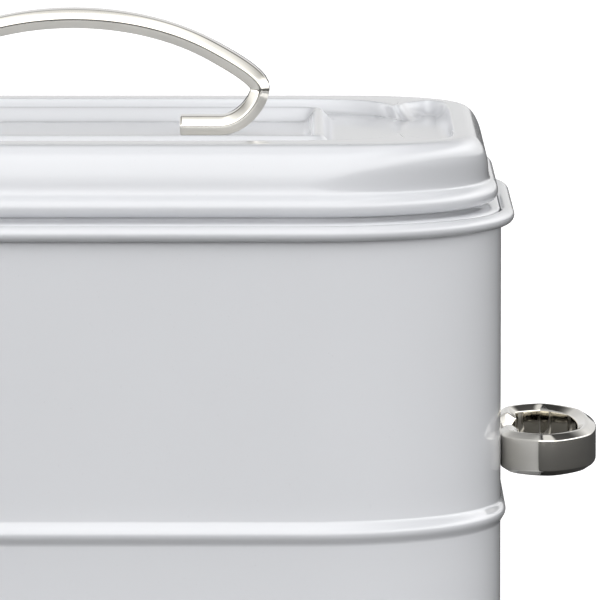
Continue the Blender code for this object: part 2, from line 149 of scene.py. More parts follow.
SETTINGS = {
    "bin_body": BinBody, "bin_lid": BinLid, "bin_bar": BinBar, "bin_top_bow": BinTopBow,
    "bin_side_bow": BinSideBow, "bin_stage": BinStage,
}


# ---- outlines, all running from the +X axis to the +Y axis ----------------------------------------
def outline(half, radius, power, turn):
    """A quarter of a rounded rectangle: turn 0 to 1 runs along the end, 1 to 2 round the corner, whose
    points are radius * (cos^(2/power), sin^(2/power)), and 2 to 3 along the side."""
    angle = np.clip(turn - 1, 0, 1) * np.pi / 2
    straight = half - np.array([radius, radius])
    x = straight[0] * (1 - np.clip(turn - 2, 0, 1)) + radius * np.clip(np.cos(angle), 0, 1) ** (2 / power)
    y = straight[1] * np.clip(turn, 0, 1) + radius * np.clip(np.sin(angle), 0, 1) ** (2 / power)
    return np.stack([x, y], -1)


def at_bearings(half, radius, bearings):
    """The same outline, with round corners, where rays from its centre meet it."""
    points = outline(half, radius, 2.0, np.linspace(0, 3, 1501))
    angle = np.arctan2(points[:, 1], points[:, 0])
    return np.stack([np.interp(bearings, angle, points[:, k]) for k in (0, 1)], -1)


def through(points, places):
    """A Catmull-Rom curve through points, mirrored beyond its ends, at places 0 for the first point,
    1 for the second and so on."""
    chain = np.concatenate([points[1:2] * (1, -1), points, points[-2:-1] * (-1, 1)])
    start = np.clip(places.astype(int), 0, len(points) - 2)
    t = (places - start)[:, None]
    a, b, c, d = (chain[start + k] for k in range(4))
    square = (2 * a - 5 * b + 4 * c - d) * t ** 2
    cube = (3 * b - a - 3 * c + d) * t ** 3
    return 0.5 * (2 * b + (c - a) * t + square + cube)


def along_normals(quarter, distance):
    """A quarter outline moved out by distance, square to itself."""
    slope = np.gradient(quarter, axis=0)
    slope[0] = (0, 1)
    slope[-1] = (-1, 0)
    normal = np.stack([slope[:, 1], -slope[:, 0]], -1)
    return quarter + distance * normal / np.linalg.norm(normal, axis=1, keepdims=True)


def lifted_ring(quarter, height):
    """The closed ring of a quarter outline, mirrored twice, at one height."""
    back = quarter[::-1]
    ring = np.concatenate([quarter[:-1], back[:-1] * (-1, 1), -quarter[:-1], back[:-1] * (1, -1)])
    return np.concatenate([ring, np.full((len(ring), 1), height)], -1)


def splined(rows, steps):
    """A cubic B-spline down the first axis that starts and ends on its first and last rows: each span
    blends four rows by (1-t)^3/6, (3t^3-6t^2+4)/6, (-3t^3+3t^2+3t+1)/6 and t^3/6."""
    rows = np.asarray(rows)
    padded = np.concatenate([rows[:1], rows[:1], rows, rows[-1:], rows[-1:]])
    t = np.linspace(0, 1, steps, endpoint=False)
    weights = np.stack([
        (1 - t) ** 3, 3 * t ** 3 - 6 * t ** 2 + 4, -3 * t ** 3 + 3 * t ** 2 + 3 * t + 1, t ** 3]) / 6
    spans = len(padded) - 3
    window = np.stack([padded[k:k + spans] for k in range(4)])
    curve = np.einsum("ks,kr...->rs...", weights, window)
    return np.concatenate([curve.reshape(-1, *rows.shape[1:]), rows[-1:]])


# ---- meshes ----------------------------------------------------------------------------------------
def ring_mesh(name, grid, close_last=False, close_first=False, flip=False):
    """A mesh from grid[row, column], whose columns run round a ring; a closed end gets a centre point."""
    rows, columns = grid.shape[:2]
    points = [grid.reshape(-1, 3)]
    index = np.arange(rows * columns).reshape(rows, columns)
    beside = np.roll(index, -1, axis=1)
    quads = np.stack([index[:-1], beside[:-1], beside[1:], index[1:]], -1).reshape(-1, 4)
    faces = quads.tolist()
    centre = rows * columns
    if close_last:
        points.append(grid[-1].mean(0, keepdims=True))
        faces += np.stack([index[-1], beside[-1], np.full(columns, centre)], -1).tolist()
        centre += 1
    if close_first:
        points.append(grid[0].mean(0, keepdims=True))
        faces += np.stack([beside[0], index[0], np.full(columns, centre)], -1).tolist()
    if flip:
        faces = [face[::-1] for face in faces]
    mesh = bpy.data.meshes.new(name)
    mesh.from_pydata(np.concatenate(points), [], faces)
    mesh.polygons.foreach_set("use_smooth", np.ones(len(mesh.polygons), bool))
    mesh.update()
    return mesh


def add_piece(name, mesh, material, body, node):
    """Link a finished piece, let it ride on its body and stand for its plain solid."""
    piece = bpy.data.objects.new(name, mesh)
    bpy.context.scene.collection.objects.link(piece)
    mesh.materials.append(material)
    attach(piece, body)
    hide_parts(node)
    return piece


def thicken(piece, thickness):
    """Give a mid-sheet skin both faces."""
    sheet = piece.modifiers.new("sheet", "SOLIDIFY")
    sheet.thickness = thickness
    sheet.offset = 0.0


# ---- the tub ---------------------------------------------------------------------------------------
BASE_LEG = 0.9 * MM          # the base's seam stands this far off the wall's mid-sheet on either side
BASE_PAN = 3.9 * MM          # mid-sheet of the base's raised pan above the floor
BODY_TURNS = np.concatenate([np.linspace(0, 1, 8, endpoint=False), np.linspace(1, 2, 52, endpoint=False),
                             np.linspace(2, 3, 15)])


def wall_half(body):
    """Half the wall's length and depth at mid-sheet: the frame's box is out to the rolled rim."""
    high = np.array(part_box("tub_wall")[1])
    return high[:2] - 2 * body.roll - body.sheet / 2


def rim_height(body):
    """The middle of the rolled rim above the floor."""
    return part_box("tub_wall")[1].z - body.roll - body.sheet / 2


def body_ring(body, offset, height):
    """A ring that stands offset outside the wall's mid-sheet."""
    half = wall_half(body) + offset
    return lifted_ring(outline(half, body.corner + offset, body.power, BODY_TURNS), height)


def pressed(height, centre, half, depth):
    """A pressed bead: depth * (1 + cos(pi t)) / 2, where t runs from -1 to 1 over its height."""
    return depth * 0.5 * (1 + np.cos(np.pi * np.clip((height - centre) / half, -1, 1)))


def wall_skin(body):
    """The wall's profile carried round the outline: straight up with one bead pressed out, then an arc
    of 310 degrees for the rolled rim."""
    rim = rim_height(body)
    bead = rim - body.bead_drop
    knots = [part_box("tub_wall")[0].z, bead - body.bead_half, bead + body.bead_half, rim]
    height = np.concatenate([np.linspace(low, high, count, endpoint=False)
                             for low, high, count in zip(knots, knots[1:], (6, 24, 14))])
    offset = pressed(height, bead, body.bead_half, body.bead_out)
    angle = np.radians(np.linspace(180, -130, 32))
    offset = np.concatenate([offset, body.roll * (1 + np.cos(angle))])
    height = np.concatenate([height, rim + body.roll * np.sin(angle)])
    return np.stack([body_ring(body, *point) for point in zip(offset, height)])


def base_skin(body):
    """The base's profile: up outside the wall's foot, under it, up inside and in to a raised pan."""
    leg = BASE_LEG
    low = body.sheet / 2
    foot = low + 0.45 * MM
    profile = [(leg, 4.2 * MM), (leg, 2.4 * MM), (leg, foot), (leg - 0.3 * MM, low), (0, low),
               (0.3 * MM - leg, low), (-leg, foot), (-leg, BASE_PAN - 1.6 * MM),
               (-leg - 1.2 * MM, BASE_PAN - 0.2 * MM), (-leg - 4 * MM, BASE_PAN), (-leg - 9 * MM, BASE_PAN)]
    return splined([body_ring(body, *point) for point in profile], 3)


# ---- the lid ---------------------------------------------------------------------------------------
# One quarter of the recess in millimetres, from the middle of its end to the middle of its long side.
# A tongue of the border reaches in near each corner, with a pocket beyond it. Columns: the border's
# inner edge, the floor's edge below it, a point further in on the floor, and the turn of the border's
# outer outline that lies opposite.
RECESS = np.array([
    (124.6, 0.0, 119.8, 0.0, 118.2, 0.0, 0.0),
    (124.6, 24.0, 119.8, 23.0, 118.2, 7.5, 0.42),
    (124.4, 46.0, 120.0, 44.0, 118.0, 14.0, 0.86),
    (123.6, 60.5, 120.4, 57.0, 117.5, 19.5, 1.10),
    (121.2, 68.6, 119.4, 64.4, 116.8, 22.0, 1.30),
    (116.4, 71.2, 116.6, 65.0, 115.9, 24.5, 1.42),
    (110.6, 63.6, 115.0, 57.6, 114.9, 27.2, 1.56),
    (108.2, 55.2, 114.3, 49.4, 113.3, 30.5, 1.63),
    (106.7, 52.8, 111.9, 42.2, 110.2, 34.2, 1.667),
    (105.9, 53.4, 108.9, 45.9, 107.2, 38.0, 1.70),
    (104.9, 56.4, 106.0, 52.2, 104.4, 43.4, 1.74),
    (103.6, 61.0, 103.4, 58.8, 101.8, 51.0, 1.80),
    (99.5, 68.0, 98.0, 65.2, 97.0, 62.0, 1.88),
    (91.0, 73.8, 88.6, 69.6, 87.8, 67.6, 1.97),
    (78.0, 77.5, 76.6, 71.8, 76.2, 70.0, 2.10),
    (60.0, 79.0, 59.0, 73.0, 58.6, 71.4, 2.34),
    (30.0, 79.5, 30.0, 73.2, 30.0, 71.6, 2.66),
    (0.0, 79.5, 0.0, 73.2, 0.0, 71.6, 3.0),
])
# The lid's side in millimetres: inset from its widest line, height (over that line in the first table,
# under the border's top in the second), and share of the way from the bead's corner to the border's.
LID_FOOT = np.array([
    (3.6, -3.2, 0.0), (2.6, -3.1, 0.0), (1.0, -2.6, 0.0), (0.0, -1.3, 0.0), (-0.1, 0.6, 0.0),
    (0.7, 2.4, 0.0), (2.6, 3.2, 0.02), (3.2, 4.4, 0.06)])
LID_SHOULDER = np.array([
    (3.3, 12.2, 0.15), (3.4, 9.6, 0.25), (3.9, 7.0, 0.40), (4.9, 4.4, 0.55), (6.3, 2.1, 0.72),
    (8.0, 0.6, 0.86), (9.6, 0.06, 1.0), (10.6, 0.0, 1.0)])
# Down the recess's wall: share of the way from the edge to the floor, and share of the depth.
RECESS_FALL = ((0.0, 0.03), (0.10, 0.26), (0.24, 0.50), (0.50, 0.76), (0.78, 0.94), (1.0, 1.0), (1.08, 1.0))
# Across the ridge round the handle's well: distance out from the ridge's middle as a share of the
# slope's width, the level nearest to it, and the rise over that level in millimetres.
WELL_STEPS = (
    (1.5, "floor", 0.0), (1.05, "floor", 0.0), (0.75, "floor", 0.9), (0.35, "ridge", -0.7),
    (0.12, "ridge", 0.0), (-0.12, "ridge", 0.0), (-0.35, "ridge", -0.8), (-0.75, "well", 1.0),
    (-1.05, "well", 0.0), (-1.5, "well", 0.0))
LID_COLUMNS = 109            # points of one quarter of a ring
LID_LIP = 3.4 * MM           # the lid's lowest point up to its widest line
BORDER_EDGE = (0.9, 0.3)     # rings on the border this many millimetres outside the recess's edge
CLOSE_PLACES = (2.5, 12.5)   # between these places of the recess the columns stand closer


def recess_places(count):
    """Places along the recess, evenly spaced but up to 3.5 times closer round the tongue and pocket."""
    dense = np.linspace(0, len(RECESS) - 1, 4001)
    step = np.linalg.norm(np.diff(through(RECESS[:, 0:2], dense), axis=0), axis=1)
    step += np.linalg.norm(np.diff(through(RECESS[:, 2:4], dense), axis=0), axis=1)
    middle = (dense[1:] + dense[:-1]) / 2
    past_start = 1 / (1 + np.exp(-4 * (middle - CLOSE_PLACES[0])))
    before_end = 1 / (1 + np.exp(4 * (middle - CLOSE_PLACES[1])))
    travelled = np.concatenate([[0], np.cumsum(step * (1 + 2.5 * past_start * before_end))])
    return np.interp(np.linspace(0, travelled[-1], count), travelled, dense)


def side_rings(body, lid, places, top):
    """Rings from the bead's lip up to the border, whose corners turn from the bead's to the border's."""
    half = np.array(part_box("lid_shell")[1])[:2] - body.sheet / 2
    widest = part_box("lid_shell")[0].z + LID_LIP
    turn = np.interp(places, np.arange(len(RECESS)), RECESS[:, 6])
    steps = [(inset, widest + rise, share) for inset, rise, share in LID_FOOT * (MM, MM, 1)]
    steps += [(inset, top - drop, share) for inset, drop, share in LID_SHOULDER * (MM, MM, 1)]
    rings = []
    for inset, height, share in steps:
        radius = (lid.corner - inset) * (1 - share) + lid.border_corner * share
        rings.append(lifted_ring(outline(half - inset, radius, body.power, turn), height))
    return rings


def recess_rings(lid, places, top):
    """Rings over the border's inner edge and down the recess's wall."""
    edge = through(RECESS[:, 0:2], places) * MM
    foot = through(RECESS[:, 2:4], places) * MM
    rings = [lifted_ring(along_normals(edge, out * MM), top) for out in BORDER_EDGE]
    for share, drop in RECESS_FALL:
        rings.append(lifted_ring(edge + (foot - edge) * share, top - lid.recess * drop))
    return rings


def well_rings(lid, bearings, levels):
    """Rings over the ridge and down into the well, where rays from the middle meet them."""
    rings = []
    for out, level, rise in WELL_STEPS:
        grow = out * lid.well_slope
        half = (lid.well_x + grow, lid.well_y + grow)
        radius = max(lid.well_corner + grow, MM)
        rings.append(lifted_ring(at_bearings(half, radius, bearings), levels[level] + rise * MM))
    return rings


def lid_skin(body, lid):
    """The lid as rings from the bead's lip up the side, over the border, down the recess's wall, along
    the floor, over the ridge and down into the handle's well. Rings between two outlines take a share
    of each, and a B-spline across the rings rounds every bend."""
    places = recess_places(LID_COLUMNS)
    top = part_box("lid_shell")[1].z - body.sheet / 2
    levels = {"floor": top - lid.recess, "ridge": top - lid.ridge, "well": top - lid.well}
    outer = splined(side_rings(body, lid, places, top) + recess_rings(lid, places, top), 3)
    mouth = through(RECESS[:, 4:6], places) * MM
    inner = splined(well_rings(lid, np.arctan2(mouth[:, 1], mouth[:, 0]), levels), 3)
    middle = inner[-1] * (0.6, 0.6, 1)
    return np.concatenate([outer, [lifted_ring(mouth, levels["floor"])], inner, [middle]])


def collar_skin(body):
    """The ring under the lid as offsets from the wall: a neck under the bead, a bead that sits on the
    rim's inner shoulder and a skirt inside the wall."""
    rim = rim_height(body)
    profile = MM * np.array([
        (-7.7, 6.2), (-6.7, 5.7), (-5.6, 4.9), (-5.1, 4.0), (-4.6, 3.3), (-2.7, 2.9), (-0.9, 2.5),
        (-0.35, 1.8), (-0.6, 1.1), (-1.6, 0.7), (-2.3, 0.1), (-2.3, -1.5), (-2.3, -5.0), (-2.6, -5.9),
        (-3.1, -6.2)])
    return splined([body_ring(body, offset, rim + rise) for offset, rise in profile], 3)


# ---- the handles -----------------------------------------------------------------------------------
BAR_RINGS = 181
BAR_END_BEVEL = 0.35 * MM


def bar_section(bar):
    """The bar's section as (across the bow, along the width): an octagon of four flats and four chamfers
    whose corners are rounded."""
    half_t = bar.thick / 2
    half_w = bar.wide / 2
    flat_t = half_t - bar.chamfer_thick
    flat_w = half_w - bar.chamfer_wide
    corners = np.array([(half_t, -flat_w), (half_t, flat_w), (flat_t, half_w), (-flat_t, half_w),
                        (-half_t, flat_w), (-half_t, -flat_w), (-flat_t, -half_w), (flat_t, -half_w)])
    before = np.roll(corners, 1, axis=0) - corners
    after = np.roll(corners, -1, axis=0) - corners
    reach_before = np.minimum(bar.edge, 0.4 * np.linalg.norm(before, axis=1))[:, None]
    reach_after = np.minimum(bar.edge, 0.4 * np.linalg.norm(after, axis=1))[:, None]
    start = corners + before / np.linalg.norm(before, axis=1, keepdims=True) * reach_before
    end = corners + after / np.linalg.norm(after, axis=1, keepdims=True) * reach_after
    t = np.linspace(0, 1, 5)[None, :, None]
    arcs = (1 - t) ** 2 * start[:, None] + 2 * t * (1 - t) * corners[:, None] + t ** 2 * end[:, None]
    return arcs.reshape(-1, 2)


def bow_path(bow, thick, count):
    """One plane curve, foot to foot, as evenly spaced points of a chain of cubic Bezier pieces: a flat
    foot, a bend at the side and the bow over the middle."""
    low = thick / 2
    bend = low + (bow.shoulder_rise - low) * 0.5
    half, rise = bow.half, bow.rise
    shoulder = np.array([bow.shoulder, bow.shoulder_rise])
    over = np.array([bow.shoulder * 0.70, rise - (rise - bow.shoulder_rise) * 0.30])
    lead = 5.8 * MM * (over - shoulder) / np.linalg.norm(over - shoulder)
    right = np.array([
        (bow.foot_end, low), (bow.foot_end + 2 * MM, low), (bow.foot_turn - 2 * MM, low),
        (bow.foot_turn, low), (bow.foot_turn + (half - bow.foot_turn) * 0.62, low),
        (half, bend - 3.2 * MM), (half, bend), (half, bend + 3.6 * MM), shoulder - lead,
        shoulder, over, (bow.shoulder * 0.34, rise), (0.0, rise)])
    t = np.linspace(0, 1, 60)[:, None]
    pieces = [(1 - t) ** 3 * right[k] + 3 * (1 - t) ** 2 * t * right[k + 1]
              + 3 * (1 - t) * t ** 2 * right[k + 2] + t ** 3 * right[k + 3] for k in range(0, 12, 3)]
    side = np.concatenate([pieces[0]] + [piece[1:] for piece in pieces[1:]])
    path = np.concatenate([side, side[-2::-1] * (-1, 1)])
    run = distance_run(path)
    even = np.linspace(0, run[-1], count)
    return np.stack([np.interp(even, run, path[:, k]) for k in (0, 1)], -1)


def distance_run(points):
    """The distance along a chain of points from its first."""
    return np.concatenate([[0], np.cumsum(np.linalg.norm(np.diff(points, axis=0), axis=1))])


def bar_mesh(name, bar, bow, place):
    """The section swept along the bow; place turns (along, width, out) into the row frame. Both ends are
    cut square with a small bevel. The attribute bar_run holds metres along and round the bar."""
    path = bow_path(bow, bar.thick, BAR_RINGS)
    slope = np.gradient(path, axis=0)
    slope /= np.linalg.norm(slope, axis=1, keepdims=True)
    section = bar_section(bar)
    inside = (path[:1] + slope[:1] * BAR_END_BEVEL, path[-1:] - slope[-1:] * BAR_END_BEVEL)
    path = np.concatenate([path[:1], inside[0], path[1:-1], inside[1], path[-1:]])
    slope = np.concatenate([slope[:1], slope, slope[-1:]])
    shrink = np.ones((len(path), 2))
    shrink[[0, -1]] = 1 - 2 * BAR_END_BEVEL / np.array([bar.thick, bar.wide])
    across = np.stack([slope[:, 1], -slope[:, 0]], -1)
    offset = section[None] * shrink[:, None]
    flat = path[:, None] + across[:, None] * offset[:, :, :1]
    grid = place(flat[..., 0], np.broadcast_to(offset[..., 1], flat.shape[:2]), flat[..., 1])
    mesh = ring_mesh(name, grid, close_last=True, close_first=True)
    rows, columns = grid.shape[:2]
    values = np.zeros((len(mesh.vertices), 3), np.float32)
    values[:rows * columns, 0] = np.repeat(distance_run(path), columns)
    values[:rows * columns, 1] = np.tile(distance_run(section), rows)
    bar_run = mesh.attributes.new("bar_run", "FLOAT_VECTOR", "POINT")
    bar_run.data.foreach_set("vector", values.ravel())
    return mesh


def over_lid():
    """Where the lid handle's (along, width, out) lie: along X, with the bow rising from its seat."""
    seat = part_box("top_handle")[0].z
    return lambda along, wide, out: np.stack([along, wide, seat + out], -1)


def off_end(node, sign):
    """Where an end handle's (along, width, out) lie: along Y, with the bow level and out from the wall."""
    low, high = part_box(node)
    wall = min(abs(low.x), abs(high.x))
    middle = (low.z + high.z) / 2
    return lambda along, wide, out: np.stack([sign * (wall + out), sign * along, middle + wide], -1)


# ---- shader node groups ----------------------------------------------------------------------------
def new_group(name, inputs, outputs):
    """An empty shader node group with float or vector sockets; returns its tree, input and output nodes."""
    tree = bpy.data.node_groups.new(name, "ShaderNodeTree")
    for socket, kind, default in inputs:
        made = tree.interface.new_socket(socket, in_out="INPUT", socket_type=kind)
        if default is not None:
            made.default_value = default
    for socket, kind in outputs:
        tree.interface.new_socket(socket, in_out="OUTPUT", socket_type=kind)
    return tree, tree.nodes.new("NodeGroupInput"), tree.nodes.new("NodeGroupOutput")


def noise(tree, vector, scale, detail, stretch=None):
    """A noise texture over a vector, in cycles per metre; stretch scales the axes first."""
    if stretch is not None:
        mapping = tree.nodes.new("ShaderNodeMapping")
        mapping.inputs["Scale"].default_value = stretch
        tree.links.new(vector, mapping.inputs["Vector"])
        vector = mapping.outputs["Vector"]
    texture = tree.nodes.new("ShaderNodeTexNoise")
    texture.inputs["Scale"].default_value = scale
    texture.inputs["Detail"].default_value = detail
    tree.links.new(vector, texture.inputs["Vector"])
    return texture.outputs["Fac"]


def ranged(tree, value, low, high, to_low, to_high, kind="LINEAR"):
    """Map a value from one range to another, clamped."""
    node = tree.nodes.new("ShaderNodeMapRange")
    node.interpolation_type = kind
    for socket, amount in zip(("From Min", "From Max", "To Min", "To Max"), (low, high, to_low, to_high)):
        node.inputs[socket].default_value = amount
    tree.links.new(value, node.inputs["Value"])
    return node.outputs["Result"]


def calc(tree, operation, first, second):
    """A math node; either side is a socket or a number."""
    node = tree.nodes.new("ShaderNodeMath")
    node.operation = operation
    for socket, value in zip(node.inputs, (first, second)):
        if isinstance(value, bpy.types.NodeSocket):
            tree.links.new(value, socket)
        else:
            socket.default_value = value
    return node.outputs["Value"]


def blended(tree, factor, first, second):
    """A colour mix; each input is a socket, a colour or a number."""
    node = tree.nodes.new("ShaderNodeMix")
    node.data_type = "RGBA"
    sockets = (node.inputs["Factor"], node.inputs[6], node.inputs[7])
    for socket, value in zip(sockets, (factor, first, second)):
        if isinstance(value, bpy.types.NodeSocket):
            tree.links.new(value, socket)
        elif isinstance(value, (int, float)):
            socket.default_value = value if socket.type == "VALUE" else (value, value, value, 1.0)
        else:
            socket.default_value = (*value, 1.0)
    return node.outputs[2]


def tinted(base, factor):
    """A colour made lighter or darker, no channel past 1."""
    return tuple(min(1.0, factor * channel) for channel in base)


def paint_group():
    """Sprayed paint: Height is orange peel over a slow ripple, Tone drifts slowly and Speck marks dust."""
    tree, given, result = new_group("paint_surface", [("Vector", "NodeSocketVector", None)], [
        ("Height", "NodeSocketFloat"), ("Tone", "NodeSocketFloat"), ("Speck", "NodeSocketFloat")])
    vector = given.outputs["Vector"]
    peel = noise(tree, vector, 620.0, 2.0)
    ripple = noise(tree, vector, 45.0, 1.0)
    height = calc(tree, "ADD", calc(tree, "MULTIPLY", peel, 0.25), calc(tree, "MULTIPLY", ripple, 0.75))
    tree.links.new(height, result.inputs["Height"])
    tone = ranged(tree, noise(tree, vector, 9.0, 3.0), 0.3, 0.7, 0.0, 1.0)
    speck = ranged(tree, noise(tree, vector, 1500.0, 1.0), 0.74, 0.80, 0.0, 1.0)
    tree.links.new(tone, result.inputs["Tone"])
    tree.links.new(speck, result.inputs["Speck"])
    return tree


def edge_group():
    """Edge is 1 on sharp convex edges and 0 on flats and hollows, broken up by noise. It is made once."""
    found = bpy.data.node_groups.get("edge_wear")
    if found:
        return found
    tree, given, result = new_group("edge_wear", [("Vector", "NodeSocketVector", None)], [
        ("Edge", "NodeSocketFloat")])
    geometry = tree.nodes.new("ShaderNodeNewGeometry")
    raised = ranged(tree, geometry.outputs["Pointiness"], 0.52, 0.60, 0.0, 1.0)
    broken = ranged(tree, noise(tree, given.outputs["Vector"], 300.0, 3.0), 0.40, 0.65, 0.0, 1.0)
    tree.links.new(calc(tree, "MULTIPLY", raised, broken), result.inputs["Edge"])
    return tree


def polish_group():
    """Polished plating: Scuff is fine grinding across the bar, Cloud is slow unevenness left by the mop."""
    tree, given, result = new_group("polish", [("Vector", "NodeSocketVector", None)], [
        ("Scuff", "NodeSocketFloat"), ("Cloud", "NodeSocketFloat")])
    vector = given.outputs["Vector"]
    tree.links.new(noise(tree, vector, 1.0, 4.0, stretch=(2600.0, 60.0, 60.0)), result.inputs["Scuff"])
    tree.links.new(noise(tree, vector, 1.0, 2.0, stretch=(70.0, 160.0, 160.0)), result.inputs["Cloud"])
    return tree


def use_group(tree, group, vector):
    """Place a node group in a material and feed its Vector."""
    node = tree.nodes.new("ShaderNodeGroup")
    node.node_tree = group
    tree.links.new(vector, node.inputs["Vector"])
    return node.outputs


def new_material(name):
    """A material with its tree, Principled shader and a fed Bump node."""
    material = bpy.data.materials.new(name)
    material.use_nodes = True
    tree = material.node_tree
    shader = tree.nodes["Principled BSDF"]
    bump = tree.nodes.new("ShaderNodeBump")
    tree.links.new(bump.outputs["Normal"], shader.inputs["Normal"])
    return material, tree, shader, bump


def object_vector(tree):
    """Object coordinates, in metres."""
    return tree.nodes.new("ShaderNodeTexCoord").outputs["Object"]


def enamel_material():
    """Glossy pale grey paint on steel, a little deeper in tone in places."""
    found = bpy.data.materials.get("pale_enamel")
    if found:
        return found
    body = bpy.context.scene.bin_body
    material, tree, shader, bump = new_material("pale_enamel")
    vector = object_vector(tree)
    paint = use_group(tree, paint_group(), vector)
    edge = use_group(tree, edge_group(), vector)
    base = tuple(body.enamel)
    tone = blended(tree, paint["Tone"], tinted(base, 0.965), base)
    thin = blended(tree, calc(tree, "MULTIPLY", edge["Edge"], 0.25), tone, tinted(base, 1.12))
    speck = blended(tree, calc(tree, "MULTIPLY", paint["Speck"], 0.25), thin, tinted(base, 0.7))
    tree.links.new(speck, shader.inputs["Base Color"])
    tree.links.new(ranged(tree, paint["Tone"], 0.0, 1.0, 0.34, 0.28), shader.inputs["Roughness"])
    shader.inputs["Coat Weight"].default_value = 1.0
    shader.inputs["Coat Roughness"].default_value = 0.08
    bump.inputs["Strength"].default_value = 0.12
    bump.inputs["Distance"].default_value = 0.00025
    tree.links.new(paint["Height"], bump.inputs["Height"])
    return material


def bright_material():
    """Polished bright plating with fine scuffs across the bar."""
    found = bpy.data.materials.get("bright_plating")
    if found:
        return found
    bar = bpy.context.scene.bin_bar
    material, tree, shader, bump = new_material("bright_plating")
    run = tree.nodes.new("ShaderNodeAttribute")
    run.attribute_name = "bar_run"
    polish = use_group(tree, polish_group(), run.outputs["Vector"])
    edge = use_group(tree, edge_group(), object_vector(tree))
    metal = tuple(bar.metal)
    clouded = ranged(tree, polish["Cloud"], 0.35, 0.65, 0.0, 1.0)
    clean = blended(tree, clouded, tinted(metal, 0.93), metal)
    rubbed = blended(tree, calc(tree, "MULTIPLY", edge["Edge"], 0.4), clean, tinted(metal, 1.12))
    tree.links.new(rubbed, shader.inputs["Base Color"])
    shader.inputs["Metallic"].default_value = 1.0
    rough = calc(tree, "ADD", ranged(tree, polish["Scuff"], 0.4, 0.75, 0.03, 0.07),
                 ranged(tree, polish["Cloud"], 0.4, 0.7, 0.0, 0.02))
    tree.links.new(rough, shader.inputs["Roughness"])
    bump.inputs["Strength"].default_value = 0.15
    bump.inputs["Distance"].default_value = 0.00004
    tree.links.new(polish["Scuff"], bump.inputs["Height"])
    return material


def zinc_material():
    """Zinc-plated steel, dull with a faint turned grain."""
    bar = bpy.context.scene.bin_bar
    material, tree, shader, bump = new_material("zinc_plating")
    vector = object_vector(tree)
    edge = use_group(tree, edge_group(), vector)
    grain = noise(tree, vector, 1.0, 3.0, stretch=(900.0, 900.0, 5000.0))
    zinc = tuple(bar.zinc)
    toned = blended(tree, grain, tinted(zinc, 0.82), zinc)
    rubbed = blended(tree, calc(tree, "MULTIPLY", edge["Edge"], 0.5), toned, tinted(zinc, 1.25))
    tree.links.new(rubbed, shader.inputs["Base Color"])
    shader.inputs["Metallic"].default_value = 1.0
    tree.links.new(ranged(tree, grain, 0.3, 0.7, 0.32, 0.48), shader.inputs["Roughness"])
    bump.inputs["Strength"].default_value = 0.2
    bump.inputs["Distance"].default_value = 0.00004
    tree.links.new(grain, bump.inputs["Height"])
    return material


# ---- operators -------------------------------------------------------------------------------------
class BREADBIN_OT_tub(bpy.types.Operator):
    """Build the tub's wall and base"""
    bl_idname = "breadbin.tub"
    bl_label = "Tub"

    def execute(self, context):
        body = context.scene.bin_body
        wall = ring_mesh("wall", wall_skin(body))
        thicken(add_piece("wall", wall, enamel_material(), "tub", "tub_wall"), body.sheet)
        base = ring_mesh("base", base_skin(body), close_last=True, flip=True)
        thicken(add_piece("base", base, enamel_material(), "tub", "tub_base"), body.sheet)
        return {"FINISHED"}


class BREADBIN_OT_lid(bpy.types.Operator):
    """Build the lid's pressing and the collar under it"""
    bl_idname = "breadbin.lid"
    bl_label = "Lid"

    def execute(self, context):
        body, lid = context.scene.bin_body, context.scene.bin_lid
        shell = ring_mesh("lid", lid_skin(body, lid), close_last=True)
        thicken(add_piece("lid", shell, enamel_material(), "lid", "lid_shell"), body.sheet)
        collar = ring_mesh("collar", collar_skin(body), flip=True)
        thicken(add_piece("collar", collar, enamel_material(), "lid", "lid_collar"), body.sheet)
        return {"FINISHED"}


class BREADBIN_OT_handles(bpy.types.Operator):
    """Build the lid handle and the two end handles"""
    bl_idname = "breadbin.handles"
    bl_label = "Handles"

    def execute(self, context):
        bar, bright = context.scene.bin_bar, bright_material()
        mesh = bar_mesh("lid_handle", bar, context.scene.bin_top_bow, over_lid())
        add_piece("lid_handle", mesh, bright, "lid", "top_handle")
        for side, sign in (("right", 1), ("left", -1)):
            name, node = f"{side}_end_handle", f"{side}_handle"
            mesh = bar_mesh(name, bar, context.scene.bin_side_bow, off_end(node, sign))
            add_piece(name, mesh, bright, "tub", node)
        return {"FINISHED"}


class BREADBIN_OT_fastenings(bpy.types.Operator):
    """Finish the screws and washers"""
    bl_idname = "breadbin.fastenings"
    bl_label = "Screws and washers"

    def execute(self, context):
        zinc = zinc_material()
        for name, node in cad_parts.items():
            if name.endswith(("_screw", "_washer")):
                node.data.materials.clear()
                node.data.materials.append(zinc)
        return {"FINISHED"}


class BREADBIN_OT_stage(bpy.types.Operator):
    """Set up the floor, the studio light and the camera"""
    bl_idname = "breadbin.stage"
    bl_label = "Stage"

    def execute(self, context):
        stage = context.scene.bin_stage
        add_floor(stage)
        add_studio(stage)
        add_camera(stage)
        return {"FINISHED"}


